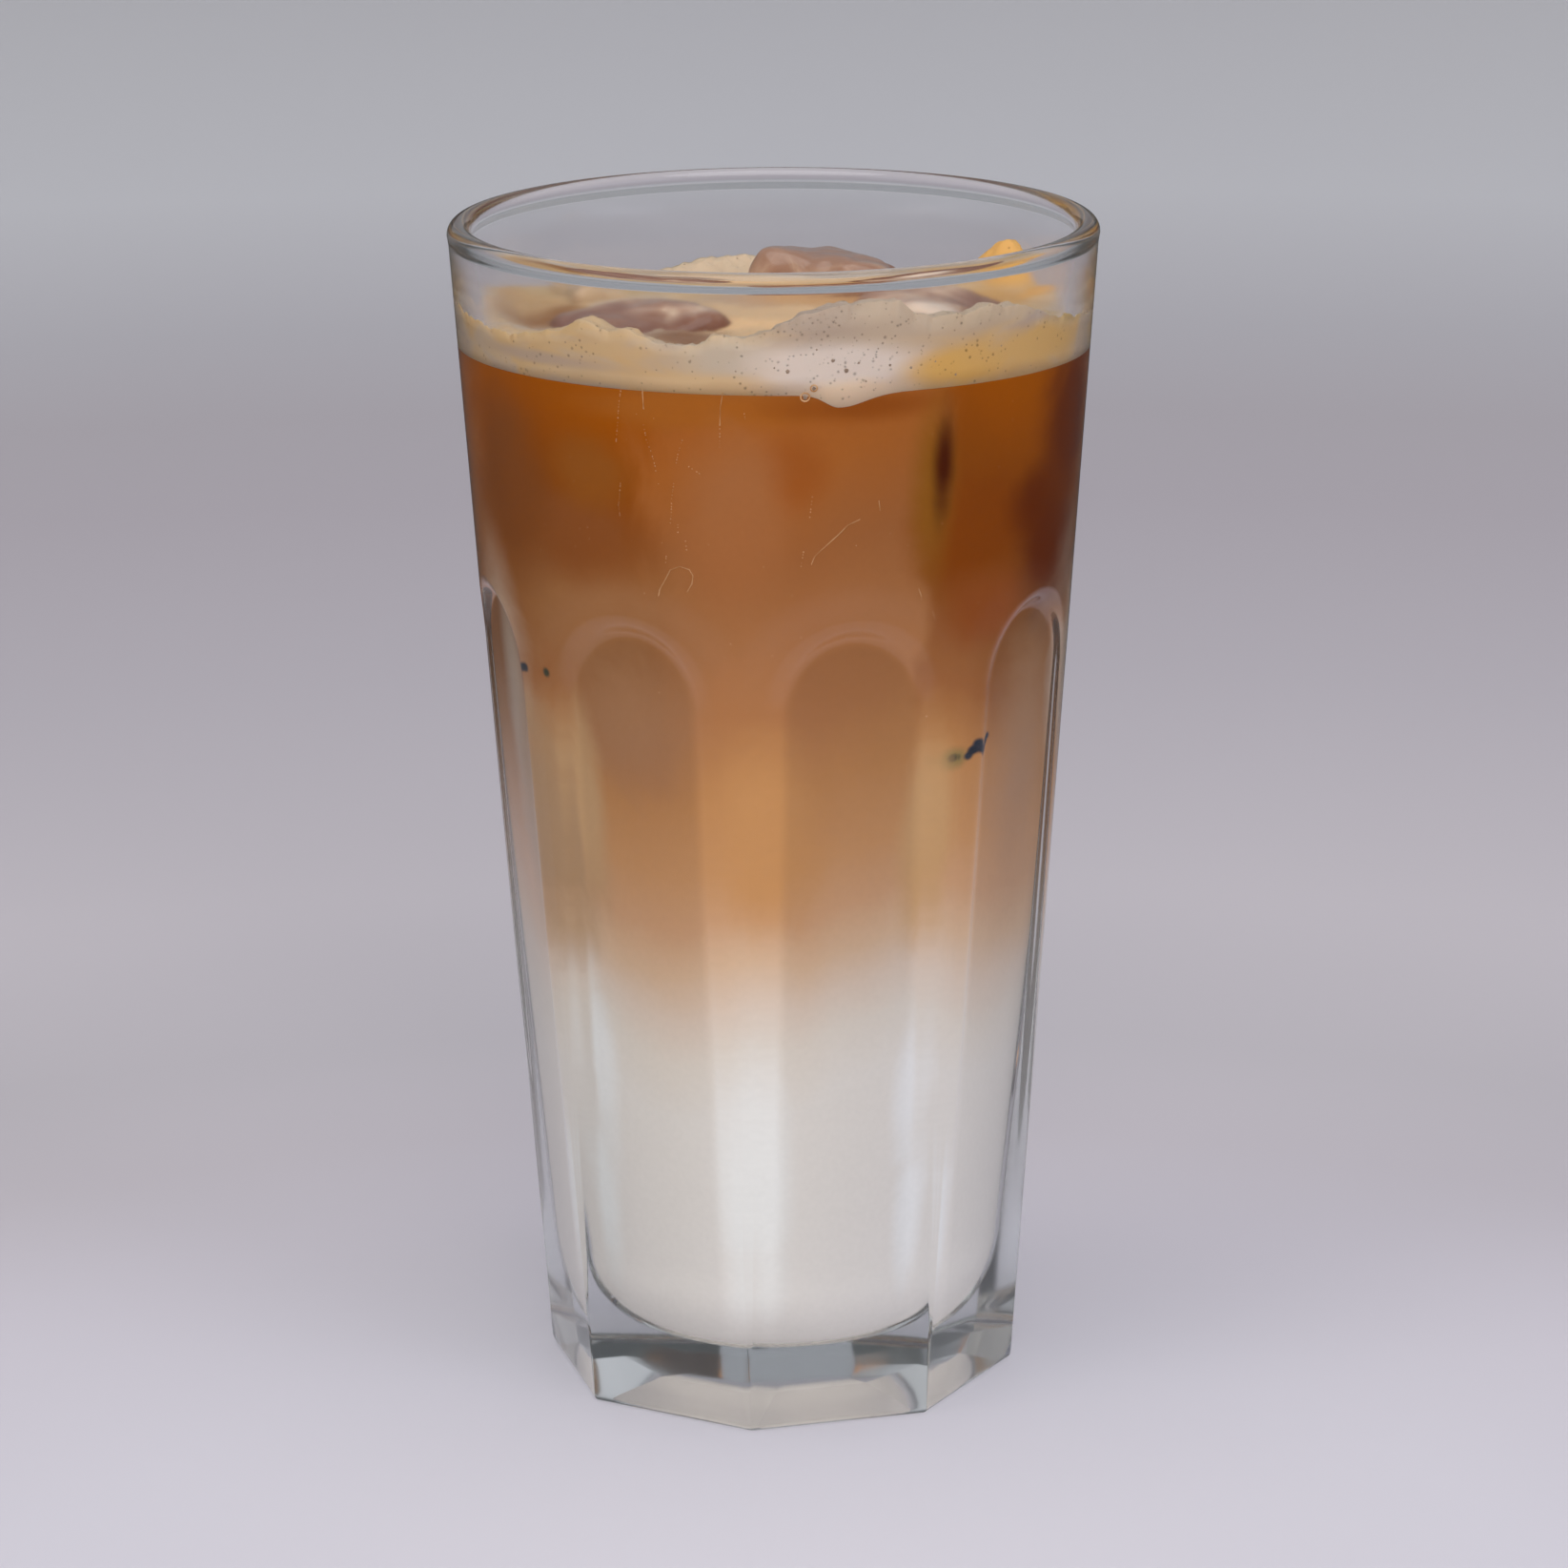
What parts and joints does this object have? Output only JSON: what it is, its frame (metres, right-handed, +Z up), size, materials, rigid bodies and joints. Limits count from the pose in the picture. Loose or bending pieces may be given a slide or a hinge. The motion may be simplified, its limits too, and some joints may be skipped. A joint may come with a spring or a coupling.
{
  "type": "glass of iced white mocha",
  "caption": "Tall glass with a round rim and arched flat panels down to an octagonal foot, filled with milk, coffee, foam and ice.",
  "frame": {"origin": "middle of the foot, at the level of the surface that the glass stands on", "axes": "+Z up along the glass's axis; the side that faces the camera looks along -Y, so +X is to its right"},
  "size_m": [0.076, 0.076, 0.14],
  "materials": {
    "clear_glass": "clear pressed soda-lime glass, fire polished",
    "milk": "cold milk seen through the wall",
    "milky_coffee": "cloudy brown coffee, milkier towards the bottom",
    "crema_foam": "fine bubbly cream and tan foam",
    "coffee_stained_ice": "wet melting ice, brown with coffee"
  },
  "bodies": {
    "root": {"glass": "clear_glass", "milk": "milk", "coffee": "milky_coffee", "foam": "crema_foam", "ice_left": "coffee_stained_ice", "ice_back": "coffee_stained_ice", "ice_right": "coffee_stained_ice", "ice_edge": "coffee_stained_ice"}
  },
  "joints": []
}
